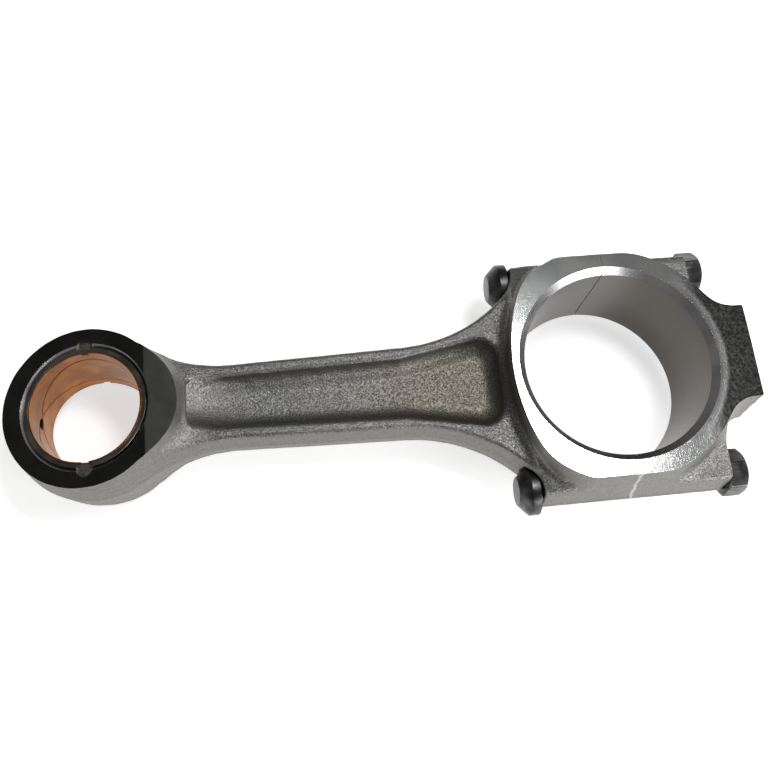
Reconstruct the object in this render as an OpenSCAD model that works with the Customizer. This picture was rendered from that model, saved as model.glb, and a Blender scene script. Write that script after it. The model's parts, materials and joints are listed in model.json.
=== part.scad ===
// Connecting rod for a heavy-duty diesel engine.
// The rod lies flat: +Z runs along both bores, -X towards the small end and
// +X towards the cap. The origin is the centre of the crankpin bore.
// The rod's side walls are drafted both ways from the forging line at Z = 0.

/* [Overall] */
// distance between the crankpin bore and the piston-pin bore
centre_distance = 268; // [215:1:330]
// width over the machined faces of the big end
big_end_width = 62; // [50:0.5:76]
// width over the parallel faces of the small end
small_end_width = 58; // [48:0.5:61]
// front-to-back depth of the I-beam shank
shank_depth = 28.5; // [27.5:0.5:36]

/* [Big end] */
// diameter of the crankpin bore, without bearing shells
crankpin_bore_d = 97; // [84:0.5:102]
// depth of the 45 degree chamfer at each mouth of the crankpin bore
crankpin_chamfer = 3.4; // [1:0.1:4]
// width of the machined face between the bore and the rod's outer side
rod_face_width = 15.5; // [12:0.5:20]
// width of the machined face between the bore and the cap's outer side
cap_face_width = 12.5; // [9:0.5:17]
// how far the side walls spread from the machined face to the forging line
wall_spread = 8; // [4:0.5:10]
// distance from each bolt's axis out to the forging line of the big end's side
shoulder_width = 9; // [8.6:0.1:13]
// slope of the flat outer sides of the big end, in degrees
side_slope = 12; // [4:0.5:14]
// width of the machined face between the bore and the shank
face_edge_width = 7; // [5:0.5:11]

/* [Bolts] */
// thickness of metal between the crankpin bore and each bolt hole
bolt_wall = 1.65; // [1:0.05:4]
// diameter of the bolt shank
bolt_d = 14; // [12:0.5:16]
// radial clearance of the bolt in its hole and of the nut on the bolt
bolt_clearance = 0.05; // [0.02:0.01:0.1]
// diameter of the round bolt head
head_d = 25.4; // [22:0.1:27]
// length of the round band of the bolt head
head_band = 5.8; // [4:0.1:8]
// length of the coned end of the bolt head
head_cone = 5.4; // [3:0.1:6]
// distance from a bolt's axis to the locating flat on its head
head_flat = 11.2; // [9:0.1:13]
// distance from the crankpin axis to the seats under the bolt heads
head_seat_x = 45; // [40:0.5:52]
// distance from the crankpin axis to the seats under the nuts
nut_seat_x = 53; // [48:0.5:58]
// width across the flats of the nuts
nut_across_flats = 22; // [19:0.5:24]
// height of the nuts
nut_height = 11.5; // [9:0.5:14]
// angle each nut is left at when tight, in degrees
nut_angle = 18; // [0:1:59]
// how far a bolt's end stands out of its nut
bolt_stand_out = 1; // [0:0.1:3]
// radius of the bosses around the bolts
boss_r = 15.5; // [14.8:0.1:17]

/* [Balance lug] */
// how far the balance lug stands out from the cap's machined face
lug_length = 10; // [7:0.5:20]
// half width of the balance lug at the machined face
lug_half_width = 25; // [18:0.5:30]
// radius of the fillets between the lug and the cap
lug_fillet_r = 7; // [4:0.5:10]

/* [Small end] */
// diameter of the finished bronze bore that takes the piston pin
pin_bore_d = 55; // [46:0.5:56]
// thickness of the bronze lining
lining_t = 0.8; // [0.5:0.1:1.5]
// thickness of the bush's steel backing
backing_t = 2.2; // [1.5:0.1:3]
// size of the chamfer at each mouth of the eye
eye_chamfer = 2; // [0.5:0.1:3]
// width of the eye's machined faces around the bush
eye_wall = 9.5; // [8:0.1:16]
// slope of each keystone face, in degrees
keystone_angle = 8.9; // [4:0.1:11]
// distance from the pin bore to where the keystone slopes begin
break_gap = 2.1; // [0.5:0.1:4]
// how much smaller than the eye the rounded pad beside the shank is
neck_pad_step = 9; // [6:0.5:12]
// distance of that pad's centre from the pin axis
neck_pad_x = 14.5; // [8:0.5:18]
// diameter of the oil hole in the tip of the eye
oil_hole_d = 6; // [3:0.5:8]
// radius of the two round notches in each face of the eye
notch_r = 4; // [2:0.5:5]
// depth of those notches
notch_depth = 2.5; // [1:0.5:5]

/* [Shank] */
// half width of the shank at the forging line, at the small end
neck_half_width = 21.4; // [18:0.1:26]
// half width of the shank at the forging line, at the big end
root_half_width = 23.6; // [20:0.1:28]
// radius of the flare into the big end
flare_r = 85; // [70:1:100]
// distance from the edge of the crankpin bore to where the flare begins
flare_length = 62.5; // [54:0.5:70]
// distance from the pin axis to where the shank begins to curve into the eye
neck_x = 70; // [60:1:80]
// slope of the shank's side walls, in degrees
shank_slope = 7; // [3:0.5:10]
// thickness of the web between the two pockets
web_t = 9; // [7:0.5:14]
// width of the flanges beside the pocket
flange_t = 6; // [4:0.1:8]
// slope of the pocket's side walls, in degrees
pocket_slope = 18; // [8:1:22]
// gap between the pocket and the machined face of the big end
pocket_gap = 2.5; // [1:0.5:8]
// radius of the pocket's corners at the small end
pocket_corner_r = 9; // [7:0.5:11]
// length by which the pocket's floor stops short at the small end
pocket_ramp = 8; // [0:0.5:14]

/* [Hidden] */
$fn = 96;
eps = 0.01;

big_half = big_end_width / 2;
small_half = small_end_width / 2;
shank_half = shank_depth / 2;
shank_spread = shank_half * tan(shank_slope);

crankpin_r = crankpin_bore_d / 2;
rod_face_r = crankpin_r + rod_face_width;
cap_face_r = crankpin_r + cap_face_width;
face_edge_x = crankpin_r + face_edge_width;
face_arc_r = crankpin_r + 53;
side_inset = big_half * tan(side_slope);

bolt_r = bolt_d / 2;
bolt_hole_r = bolt_r + bolt_clearance;
bolt_offset = crankpin_r + bolt_wall + bolt_hole_r;
shoulder_half_width = bolt_offset + shoulder_width;
head_r = head_d / 2;
head_length = head_band + head_cone;
head_end_r = head_r - head_cone;
spot_r = head_r + 1.3;
nut_end_x = nut_seat_x + nut_height;
nut_corner_r = nut_across_flats / sqrt(3);
bolt_end_x = nut_end_x + bolt_stand_out;

lug_end_x = cap_face_r + lug_length;
lug_inset = big_half * tan(5);
fillet_y = lug_half_width + lug_fillet_r;
fillet_x = sqrt(pow(cap_face_r + lug_fillet_r, 2) - pow(fillet_y, 2));

pin_x = -centre_distance;
pin_r = pin_bore_d / 2;
lining_r = pin_r + lining_t;
eye_bore_r = lining_r + backing_t;
eye_face_r = eye_bore_r + eye_wall;
eye_mid_r = eye_face_r + small_half * tan(5);
keystone_break = pin_r + break_gap;
break_x = pin_x + keystone_break;
pin_face_z = small_half - keystone_break * tan(keystone_angle);
neck_pad_r = eye_face_r - neck_pad_step;
notch_y = eye_bore_r + 0.5;

// The neck's arc is tangent to the shank's side and to the eye.
neck_rise = eye_mid_r - neck_half_width;
neck_r = (pow(neck_x, 2) + pow(neck_half_width, 2) - pow(eye_mid_r, 2)) / (2 * neck_rise);
neck_end_x = neck_x * eye_mid_r / (eye_mid_r + neck_r);
neck_end_y = (neck_half_width + neck_r) * eye_mid_r / (eye_mid_r + neck_r);

flare_x = crankpin_r + flare_length;
pocket_end_x = face_edge_x + pocket_gap;
pocket_top_z = shank_half + 1;
pocket_floor_z = web_t / 2;
pocket_lean = (pocket_top_z - pocket_floor_z) * tan(pocket_slope);
pocket_side = shank_spread + flange_t;
pocket_root_r = pocket_corner_r + 2;

// Each pocket station holds a distance along X, the pocket's half width there,
// the radius of its corners and how far its floor is set towards the big end.
pocket_stations = [
  [pin_x + 56, neck_half_width - pocket_side, pocket_corner_r, pocket_ramp],
  [-flare_x + 1, root_half_width - pocket_side + 0.6, pocket_corner_r, 0],
  [-flare_x + 26, root_half_width - pocket_side + 5, pocket_corner_r, 0],
  [-pocket_end_x - pocket_root_r, root_half_width - pocket_side + 8, pocket_root_r, 0]
];

// A round body that narrows from the forging line towards both faces.
module bicone(r_mid, r_face, half) {
  cylinder(r1 = r_mid, r2 = r_face, h = half);
  mirror([0, 0, 1])
    cylinder(r1 = r_mid, r2 = r_face, h = half);
}

// Everything drawn below, repeated on the other side of the rod's centre line.
module both_sides() {
  children();
  mirror([0, 1, 0])
    children();
}

// Everything drawn below, repeated on the back of the rod.
module both_faces() {
  children();
  mirror([0, 0, 1])
    children();
}

// A bar along X with the given section in Y and Z.
module bar_x(x0, x1) {
  translate([x0, 0, 0])
    rotate([90, 0, 90])
      linear_extrude(x1 - x0)
        children();
}

// The band between the sloping outer sides of the big end.
module side_limit() {
  bar_x(-80, 80)
    polygon([
      [shoulder_half_width, 0],
      [shoulder_half_width - side_inset, big_half],
      [-shoulder_half_width + side_inset, big_half],
      [-shoulder_half_width, 0],
      [-shoulder_half_width + side_inset, -big_half],
      [shoulder_half_width - side_inset, -big_half]
    ]);
}

// Rounded boss around a bolt, joined inwards to the ring.
module bolt_boss(x0, x1) {
  bar_x(x0, x1) {
    translate([bolt_offset, 0])
      circle(r = boss_r);
    translate([bolt_offset - 20, -boss_r])
      square([20, 2 * boss_r]);
  }
}

// Half of the ring around the crankpin, on the side of X given by its sign.
module ring_half(side, r_mid, r_face) {
  rotate([0, 0, -side * 90])
    rotate_extrude(angle = 180)
      polygon([
        [crankpin_r, -big_half + crankpin_chamfer],
        [crankpin_r + crankpin_chamfer, -big_half],
        [r_face, -big_half],
        [r_mid, 0],
        [r_face, big_half],
        [crankpin_r + crankpin_chamfer, big_half],
        [crankpin_r, big_half - crankpin_chamfer]
      ]);
}

// Crankpin bore with a chamfer at each mouth.
module crankpin_bore() {
  cylinder(r = crankpin_r, h = big_end_width + 2, center = true);
  both_faces()
    translate([0, 0, big_half - crankpin_chamfer])
      cylinder(r1 = crankpin_r, r2 = crankpin_r + crankpin_chamfer + 1, h = crankpin_chamfer + 1);
}

// Holes for the two bolts.
module bolt_holes() {
  both_sides()
    bar_x(-80, 80)
      translate([bolt_offset, 0])
        circle(r = bolt_hole_r);
}

// Recess that clears a bolt head and stops its flat from turning.
module head_recess() {
  both_sides()
    intersection() {
      bar_x(-head_seat_x - 30, -head_seat_x)
        translate([bolt_offset, 0])
          circle(r = spot_r);
      translate([-head_seat_x - 40, bolt_offset - head_flat - bolt_clearance, -40])
        cube([50, 60, 80]);
    }
}

// Raised machined face of the big end on the rod side.
module rod_face_pad() {
  intersection() {
    ring_half(-1, rod_face_r + wall_spread, rod_face_r);
    translate([face_arc_r - face_edge_x, 0, -big_half])
      cylinder(r = face_arc_r, h = big_end_width);
  }
}

// Straight part of the shank, with sloping sides.
module shank_bar() {
  shank_length = centre_distance - neck_x - flare_x;
  lean = atan((root_half_width - neck_half_width) / shank_length);
  intersection() {
    within_side(1, lean);
    within_side(-1, lean);
    translate([pin_x + neck_x - eps, -60, -shank_half])
      cube([shank_length + 2 * eps, 120, shank_depth]);
  }
}

// All that lies inside one sloping side of the shank.
module within_side(side, lean) {
  translate([pin_x + neck_x, side * neck_half_width, 0])
    rotate([0, 0, side * lean])
      bar_x(-20, centre_distance)
        polygon([
          [0, 0],
          [-side * shank_spread, shank_half],
          [-side * 80, shank_half],
          [-side * 80, -shank_half],
          [-side * shank_spread, -shank_half]
        ]);
}

// Curved flare from the shank into the big end.
module flare() {
  difference() {
    translate([-flare_x, -bolt_offset, -shank_half])
      cube([flare_x - 20, 2 * bolt_offset, shank_depth]);
    both_sides()
      translate([-flare_x, root_half_width + flare_r, 0])
        bicone(flare_r, flare_r + shank_spread, shank_half + eps);
  }
}

// Curved neck from the shank into the eye.
module neck() {
  difference() {
    translate([pin_x + neck_end_x, -neck_end_y, -shank_half])
      cube([neck_x - neck_end_x, 2 * neck_end_y, shank_depth]);
    both_sides()
      translate([pin_x + neck_x, neck_half_width + neck_r, 0])
        bicone(neck_r, neck_r + shank_spread, shank_half + eps);
  }
}

// Outer body of the eye before its keystone faces are cut.
module eye_body() {
  translate([pin_x, 0, 0])
    bicone(eye_mid_r, eye_face_r, small_half);
  translate([pin_x + neck_pad_x, 0, 0])
    bicone(neck_pad_r + 8, neck_pad_r, small_half);
}

// Everything outside the two sloping keystone faces.
module keystone_cut(recess = 0) {
  both_faces()
    translate([break_x, 0, small_half - recess])
      rotate([0, -keystone_angle, 0])
        translate([-120, -60, 0])
          cube([120, 120, 40]);
}

// Chamfer where the eye's bore meets a keystone face.
module eye_mouths() {
  both_faces()
    translate([pin_x, 0, pin_face_z])
      rotate([0, -keystone_angle, 0])
        translate([0, 0, -eye_chamfer - 1])
          cylinder(r1 = eye_bore_r - 1, r2 = eye_bore_r + eye_chamfer + 3, h = eye_chamfer + 4);
}

// Round notches across the joint between the eye and the bush.
module oil_notches() {
  both_faces()
    both_sides()
      translate([pin_x, notch_y, pin_face_z - notch_depth])
        cylinder(r = notch_r, h = 20);
}

// Oil hole through the tip of the eye to the pin.
module oil_hole() {
  translate([pin_x - 60, 0, 0])
    rotate([0, 90, 0])
      cylinder(d = oil_hole_d, h = 60);
}

// Floor and mouth of the pocket at a given station.
module pocket_station(station) {
  for (side = [-1, 1]) {
    y = side * (station[1] - station[2]);
    foot_r = station[2] - pocket_lean;
    translate([station[0] + station[3], y, pocket_floor_z])
      cylinder(r1 = foot_r, r2 = foot_r + tan(pocket_slope), h = 1, $fn = 32);
    translate([station[0], y, pocket_top_z])
      cylinder(r = station[2], h = 2, $fn = 32);
  }
}

// Long rounded pocket that gives the shank its I section.
module pocket() {
  for (i = [0 : 2])
    hull() {
      pocket_station(pocket_stations[i]);
      pocket_station(pocket_stations[i + 1]);
    }
}

// Rod forging: shank, eye and the rod's half of the big end.
module rod_forging() {
  color("#6f7174")
    difference() {
      union() {
        shank_bar();
        flare();
        neck();
        eye_body();
        intersection() {
          union() {
            rod_face_pad();
            both_sides()
              bolt_boss(-head_seat_x, 0);
          }
          side_limit();
        }
      }
      crankpin_bore();
      bolt_holes();
      head_recess();
      translate([pin_x, 0, 0])
        cylinder(r = eye_bore_r, h = 100, center = true);
      keystone_cut();
      eye_mouths();
      oil_notches();
      oil_hole();
      both_faces()
        pocket();
    }
}

// Drafted block at the end of the cap.
module balance_lug() {
  intersection() {
    bar_x(20, lug_end_x + lug_inset)
      polygon([
        [lug_half_width + lug_inset, 0],
        [lug_half_width, big_half],
        [-lug_half_width, big_half],
        [-lug_half_width - lug_inset, 0],
        [-lug_half_width, -big_half],
        [lug_half_width, -big_half]
      ]);
    translate([0, 60, 0])
      rotate([90, 0, 0])
        linear_extrude(120)
          polygon([
            [20, -big_half],
            [lug_end_x, -big_half],
            [lug_end_x + lug_inset / 2, 0],
            [lug_end_x, big_half],
            [20, big_half]
          ]);
  }
  both_sides()
    difference() {
      translate([0, 0, -big_half])
        linear_extrude(big_end_width)
          polygon([[30, 0], [fillet_x, 0], [fillet_x, fillet_y], [30, fillet_y * 30 / fillet_x]]);
      translate([fillet_x, fillet_y, 0])
        bicone(lug_fillet_r - 1, lug_fillet_r, big_half + eps);
    }
}

// Bearing cap with its bolt bosses and balance lug.
module bearing_cap() {
  color("#66686b")
    difference() {
      union() {
        intersection() {
          union() {
            ring_half(1, cap_face_r + wall_spread, cap_face_r);
            both_sides()
              bolt_boss(0, nut_seat_x);
          }
          side_limit();
        }
        balance_lug();
      }
      crankpin_bore();
      bolt_holes();
    }
}

// A plain sleeve about the piston pin, cut to the keystone faces.
module pin_sleeve(r_out, r_in) {
  difference() {
    translate([pin_x, 0, 0])
      cylinder(r = r_out, h = small_end_width, center = true);
    translate([pin_x, 0, 0])
      cylinder(r = r_in, h = small_end_width + 2, center = true);
    keystone_cut(0.4);
    oil_hole();
    oil_notches();
  }
}

// Steel backing of the piston-pin bush, pressed into the eye.
module bush_backing() {
  color("#8d8f92")
    pin_sleeve(eye_bore_r, lining_r);
}

// Bronze lining of the piston-pin bush.
module bush_lining() {
  color("#b5773c")
    pin_sleeve(lining_r, pin_r);
}

// Through-bolt with a round coned head and a locating flat.
module cap_bolt() {
  color("#2b2c2e")
    translate([0, bolt_offset, 0])
      difference() {
        rotate([0, 90, 0])
          union() {
            translate([0, 0, -head_seat_x])
              cylinder(r = bolt_r, h = bolt_end_x + head_seat_x - 1);
            translate([0, 0, bolt_end_x - 1])
              cylinder(r1 = bolt_r, r2 = bolt_r - 1, h = 1);
            translate([0, 0, -head_seat_x - head_band])
              cylinder(r = head_r, h = head_band);
            translate([0, 0, -head_seat_x - head_length])
              cylinder(r1 = head_end_r, r2 = head_r, h = head_cone);
          }
        translate([-head_seat_x - head_length - 1, -head_flat - 20, -20])
          cube([head_length + 1, 20, 40]);
      }
}

// Bolt on the +Y side.
module bolt_upper() {
  cap_bolt();
}

// Bolt on the -Y side.
module bolt_lower() {
  mirror([0, 1, 0])
    cap_bolt();
}

// Hexagon nut with a chamfered outer end.
module cap_nut() {
  color("#303133")
    translate([nut_seat_x, 0, 0])
      rotate([0, 90, 0])
        difference() {
          intersection() {
            rotate([0, 0, 90 - nut_angle])
              cylinder(r = nut_corner_r, h = nut_height, $fn = 6);
            cylinder(r1 = nut_corner_r + 18, r2 = nut_corner_r - 1.6, h = nut_height);
          }
          translate([0, 0, -1])
            cylinder(r = bolt_hole_r, h = nut_height + 2);
        }
}

// Nut on the +Y side.
module nut_upper() {
  translate([0, bolt_offset, 0])
    cap_nut();
}

// Nut on the -Y side.
module nut_lower() {
  translate([0, -bolt_offset, 0])
    cap_nut();
}

rod_forging();
bearing_cap();
bush_backing();
bush_lining();
bolt_upper();
bolt_lower();
nut_upper();
nut_lower();
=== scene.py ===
"""Looks of a heavy-duty diesel connecting rod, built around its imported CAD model.

The forging and the cap are meshed from distance fields in millimetres, so that forged edges get
their fillets and machined ones stay crisp. The bush, bolts and nuts are turned profiles. Every
size that the frame can give comes from it. The rest repeat the CAD source's own sizes.
"""

import json
import math

import bmesh
import bpy
import numpy as np
from mathutils import Matrix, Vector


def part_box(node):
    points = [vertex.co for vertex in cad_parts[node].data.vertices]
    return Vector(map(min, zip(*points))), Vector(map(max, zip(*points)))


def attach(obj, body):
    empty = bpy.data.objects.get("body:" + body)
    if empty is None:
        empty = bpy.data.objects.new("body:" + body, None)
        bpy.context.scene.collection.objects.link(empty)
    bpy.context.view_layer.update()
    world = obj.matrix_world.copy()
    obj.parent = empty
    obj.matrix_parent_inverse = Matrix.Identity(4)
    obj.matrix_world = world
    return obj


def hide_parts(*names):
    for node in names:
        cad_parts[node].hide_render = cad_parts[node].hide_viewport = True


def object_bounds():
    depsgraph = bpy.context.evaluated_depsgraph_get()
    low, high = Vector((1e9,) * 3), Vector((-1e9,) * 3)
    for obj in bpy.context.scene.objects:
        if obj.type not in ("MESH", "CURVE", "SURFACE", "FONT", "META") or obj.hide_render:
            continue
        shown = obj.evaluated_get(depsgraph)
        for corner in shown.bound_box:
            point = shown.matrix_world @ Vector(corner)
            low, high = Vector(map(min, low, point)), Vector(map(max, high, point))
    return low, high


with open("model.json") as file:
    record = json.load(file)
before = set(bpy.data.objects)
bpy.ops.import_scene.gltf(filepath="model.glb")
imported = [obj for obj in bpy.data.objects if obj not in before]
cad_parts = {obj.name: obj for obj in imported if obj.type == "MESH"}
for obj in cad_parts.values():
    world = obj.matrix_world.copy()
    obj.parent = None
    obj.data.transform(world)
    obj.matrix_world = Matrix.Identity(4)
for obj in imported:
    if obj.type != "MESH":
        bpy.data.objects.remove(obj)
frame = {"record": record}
cad_low, cad_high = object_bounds()

MM = 0.001


def span(node):
    """Lowest and highest corner of a CAD node, in millimetres."""
    low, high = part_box(node)
    return np.array(low) / MM, np.array(high) / MM


mounts = {m["name"]: m for m in frame["record"]["mounts"]}
rod_low, rod_high = span("rod_forging")
cap_low, cap_high = span("bearing_cap")
bolt_low, bolt_high = span("bolt_upper")
nut_low, nut_high = span("nut_upper")
lining_low, lining_high = span("bush_lining")
backing_low, _ = span("bush_backing")

# Big end
CRANK_R = mounts["crankpin_bore"]["dims"]["r_mm"]
BIG_HALF = rod_high[2]
CRANK_CHAMFER = BIG_HALF - mounts["crankpin_bore"]["dims"]["length_mm"] / 2
SHOULDER = rod_high[1]
SIDE_TAN = math.tan(math.radians(12))
ROD_FACE_R = CRANK_R + 15.5
CAP_FACE_R = CRANK_R + 12.5
WALL_SPREAD = 8
FACE_ARC_R = CRANK_R + 53
FACE_EDGE_X = CRANK_R + 7
LUG_TAN = math.tan(math.radians(5))
LUG_HALF = 25
LUG_END_X = cap_high[0] - BIG_HALF * LUG_TAN / 2

# Bolts and nuts
HEAD_R = bolt_high[2]
BOLT_Y = bolt_high[1] - HEAD_R
BOLT_R = 7
HOLE_R = 7.05
HEAD_FLAT = BOLT_Y - bolt_low[1]
HEAD_SEAT_X = -45
HEAD_BAND = 5.8
NUT_SEAT_X = nut_low[0]
NUT_END_X = nut_high[0]
NUT_FLATS = 22
BOSS_R = 15.5

# Small end
PIN_X = mounts["piston_pin_bore"]["pos_m"][0] / MM
PIN_R = mounts["piston_pin_bore"]["dims"]["r_mm"]
LINING_R = PIN_X - lining_low[0]
EYE_BORE_R = PIN_X - backing_low[0]
BUSH_RECESS = 0.4
SMALL_HALF = lining_high[2] + BUSH_RECESS
EYE_FACE_R = EYE_BORE_R + 9.5
EYE_MID_R = EYE_FACE_R + SMALL_HALF * LUG_TAN
EYE_CHAMFER = 2
KEY_ANGLE = math.radians(8.9)
KEY_BREAK_X = PIN_X + PIN_R + 2.1
PAD_R = EYE_FACE_R - 9
PAD_X = PIN_X + 14.5
NOTCH_R = 4
NOTCH_Y = EYE_BORE_R + 0.5
NOTCH_DEPTH = 2.5
NOTCH_TOOL_LENGTH = 20
PIN_FACE_Z = SMALL_HALF - (KEY_BREAK_X - PIN_X) * math.tan(KEY_ANGLE)
OIL_R = 3

# Shank
SHANK_HALF = 14.25
SHANK_TAN = math.tan(math.radians(7))
NECK_X = PIN_X + 70
NECK_HALF = 21.4
FLARE_X = -CRANK_R - 62.5
FLARE_R = 85
ROOT_HALF = 23.6
FLOOR_Z = 4.5
POCKET_TOP = SHANK_HALF + 1
EYE_REACH = 60
POCKET_TAN = math.tan(math.radians(18))
POCKET_X = [PIN_X + 47, PIN_X + 56, FLARE_X + 1, FLARE_X + 26, -FACE_EDGE_X - 13.5, -FACE_EDGE_X]
POCKET_HALF = [13.6, 13.65, 16.45, 20.85, 23.85, 24.5]
POCKET_LEFT = PIN_X + 47
POCKET_RIGHT = -FACE_EDGE_X - 2.5
# Half the crack's width at the bore and outside it, and what the faces stay inside the CAD by
SPLIT_GAP = 0.25
CLOSED_GAP = 0.06
SKIM = 0.04

# Fillets and roundings that forging dies leave, which the CAD source mostly leaves plain
NECK_FILLET = 11
PAD_FILLET = 7
BOSS_FILLET = 6
LUG_FILLET = 10
LUG_EDGE = 1.5
SIDE_EDGE = 1.5
PAD_CORNER = 3
EYE_PAD_SPREAD = 8
POCKET_CORNER = 11
POCKET_FLOOR_FILLET = 7
POCKET_RIM = 2.2
RAMP_SLOPE = 0.7
RAMP_LEAD = 3
RAMP_FILLET = 12
FLASH_HEIGHT = 0.3
FLASH_HALF = 1.6
BOSS_REACH = 20
SEAT_CLEARANCE = 1.3

# Stock that machining takes off the forged faces, and how far the raw skin lies in and waves
STOCK = 2
SKIN_DROP = 0.12
SKIN_WAVE = 0.1

# A distance that keeps a field out of a union or a cut
FAR = 50

# Meshing: cell size, how far a vertex may leave its cell, and its pull to the cell's middle
STEP = 0.9
LOOSE = 0.2
PULL = 0.012


# ---------------------------------------------------------------- distance fields


def blend_union(a, b, r):
    """Union of two solids with a concave fillet of about r where they meet."""
    h = np.maximum(r - np.abs(a - b), 0)
    return np.minimum(a, b) - h * h / (4 * r)


def blend_cut(a, b, r):
    """What two solids share, with a convex rounding of about r where they meet."""
    h = np.maximum(r - np.abs(a - b), 0)
    return np.maximum(a, b) + h * h / (4 * r)


def round_corner(a, b, r):
    """What two half planes share, with a true arc of radius r at the corner."""
    p, q = a + r, b + r
    return np.minimum(np.maximum(p, q), 0) + np.hypot(np.maximum(p, 0), np.maximum(q, 0)) - r


def cone(x, y, z, centre_x, r_mid, r_face, half):
    """A round body about Z that narrows from r_mid in the middle to r_face at its faces."""
    lean = (r_mid - r_face) / half
    return (np.hypot(x - centre_x, y) - r_mid + lean * np.abs(z)) / math.hypot(1, lean)


WAVES = np.random.default_rng(7).normal(size=(9, 4))


def unevenness(x, y, z):
    """Gentle waviness of a forged skin, within about one unit either way."""
    total = 0
    for i, (a, b, c, phase) in enumerate(WAVES):
        pitch = 0.16 + 0.045 * i
        total = total + np.sin(pitch * (a * x + b * y + c * z) + 9 * phase)
    return total / 5


def split_x(y, z):
    """Where the fracture between rod and cap runs: straight at the bore, jagged at the outside."""
    outward = np.clip((np.abs(y) - CRANK_R - 7) / 9, 0, 1)
    step = np.tanh(3 * np.sin(0.55 * z + 0.8)) + 0.6 * np.sin(1.7 * z + 0.4 * y)
    drift = np.where(y < 0, 2.6, 1.2) * np.clip(1 - np.abs(z) / 26, 0, 1)
    return outward * (0.35 * step + drift)


def split_gap(y):
    """Half the width of the crack that shows, which closes up away from the bore."""
    return np.interp(np.abs(y), [CRANK_R + 0.5, CRANK_R + 2.5], [SPLIT_GAP, CLOSED_GAP])


def neck_radius():
    """Radius of the neck's arc, which is tangent to the shank's side and to the eye."""
    reach = (NECK_X - PIN_X) ** 2 + NECK_HALF**2 - EYE_MID_R**2
    return reach / (2 * (EYE_MID_R - NECK_HALF))


def shank_profile():
    """Half width of the shank at the forging line along X, with its slope."""
    x = np.arange(PIN_X, 0.5, 0.5)
    w = NECK_HALF + (ROOT_HALF - NECK_HALF) * (x - NECK_X) / (FLARE_X - NECK_X)
    r = neck_radius()
    neck = NECK_HALF + r - np.sqrt(np.maximum(r**2 - (x - NECK_X) ** 2, 0))
    flare = ROOT_HALF + FLARE_R - np.sqrt(np.maximum(FLARE_R**2 - (x - FLARE_X) ** 2, 0))
    w = np.where(x < NECK_X, neck, np.where(x > FLARE_X, flare, w))
    touch_x = PIN_X + (NECK_X - PIN_X) * EYE_MID_R / (EYE_MID_R + r)
    eye = np.sqrt(np.maximum(EYE_MID_R**2 - (x - PIN_X) ** 2, 0))
    w = np.where(x < touch_x, eye - 0.2, w)
    return x, w, np.gradient(w, x)


PROFILE_X, PROFILE_W, PROFILE_SLOPE = shank_profile()


def shank_side(x, y, z):
    """Distance outside the drafted side walls of the shank."""
    w = np.interp(x, PROFILE_X, PROFILE_W)
    slope = np.interp(x, PROFILE_X, PROFILE_SLOPE)
    d = (np.abs(y) + SHANK_TAN * np.abs(z) - w) / np.sqrt(1 + SHANK_TAN**2 + slope**2)
    return np.maximum(np.maximum(d, PIN_X - x), x + 30)


def face_pad(x, y, z):
    """Raised pad that carries the rod's machined face."""
    ring = cone(x, y, z, 0, ROD_FACE_R + WALL_SPREAD, ROD_FACE_R, BIG_HALF)
    arc = np.hypot(x - FACE_ARC_R + FACE_EDGE_X, y) - FACE_ARC_R
    return blend_cut(ring, arc, PAD_CORNER)


def eye_outline(x, y, z):
    """Drafted outer walls of the eye and of the pad beside the shank."""
    eye = cone(x, y, z, PIN_X, EYE_MID_R, EYE_FACE_R, SMALL_HALF)
    pad = cone(x, y, z, PAD_X, PAD_R + EYE_PAD_SPREAD, PAD_R, SMALL_HALF)
    return eye, blend_union(eye, pad, PAD_CORNER)


def side_plane(y, z):
    """Sloping flat sides of the big end, with the flash line left by the forging dies."""
    flash = FLASH_HEIGHT * np.clip(FLASH_HALF - np.abs(np.abs(z) - 0.2), 0, 1)
    out = np.abs(y) + SIDE_TAN * np.abs(z) - SHOULDER + FLASH_HEIGHT - flash
    return out / math.hypot(1, SIDE_TAN)


def bolt_boss(x, y, z, x0, x1):
    """Rounded boss around a bolt, on both sides of the rod."""
    round_part = np.hypot(np.maximum(np.abs(y) - BOLT_Y, 0), z) - BOSS_R
    inner = BOLT_Y - BOSS_REACH - np.abs(y)
    return np.maximum(np.maximum(round_part, inner), np.maximum(x0 - x, x - x1))


def pocket(x, y, z):
    """Pocket that gives the shank its I section, on both faces."""
    height = np.abs(z)
    sink = np.maximum(POCKET_TOP - height, -STOCK) * POCKET_TAN
    side = np.abs(y) - np.interp(x, POCKET_X, POCKET_HALF) + sink
    walls = round_corner(side, x - POCKET_RIGHT + sink, POCKET_CORNER)
    walls = walls * math.cos(math.atan(POCKET_TAN))
    climb = np.abs(POCKET_TOP - height) - (x - POCKET_LEFT + RAMP_LEAD) * RAMP_SLOPE
    walls = blend_cut(walls, climb / math.hypot(1, RAMP_SLOPE), RAMP_FILLET)
    return blend_cut(walls, FLOOR_Z - height, POCKET_FLOOR_FILLET)


def crank_bore(x, y, z):
    """Crankpin bore with its two chamfers."""
    r = np.hypot(x, y)
    flare = (r - CRANK_R - (np.abs(z) - BIG_HALF + CRANK_CHAMFER)) * math.sqrt(0.5)
    return np.minimum(r - CRANK_R, flare)


def bolt_drill(y, z):
    """Holes for both bolts."""
    return np.hypot(np.abs(y) - BOLT_Y, z) - HOLE_R


def keystone(x, z):
    """Distance above the sloping keystone faces."""
    slope = (np.abs(z) - SMALL_HALF) * math.cos(KEY_ANGLE) + (KEY_BREAK_X - x) * math.sin(KEY_ANGLE)
    return slope


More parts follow.
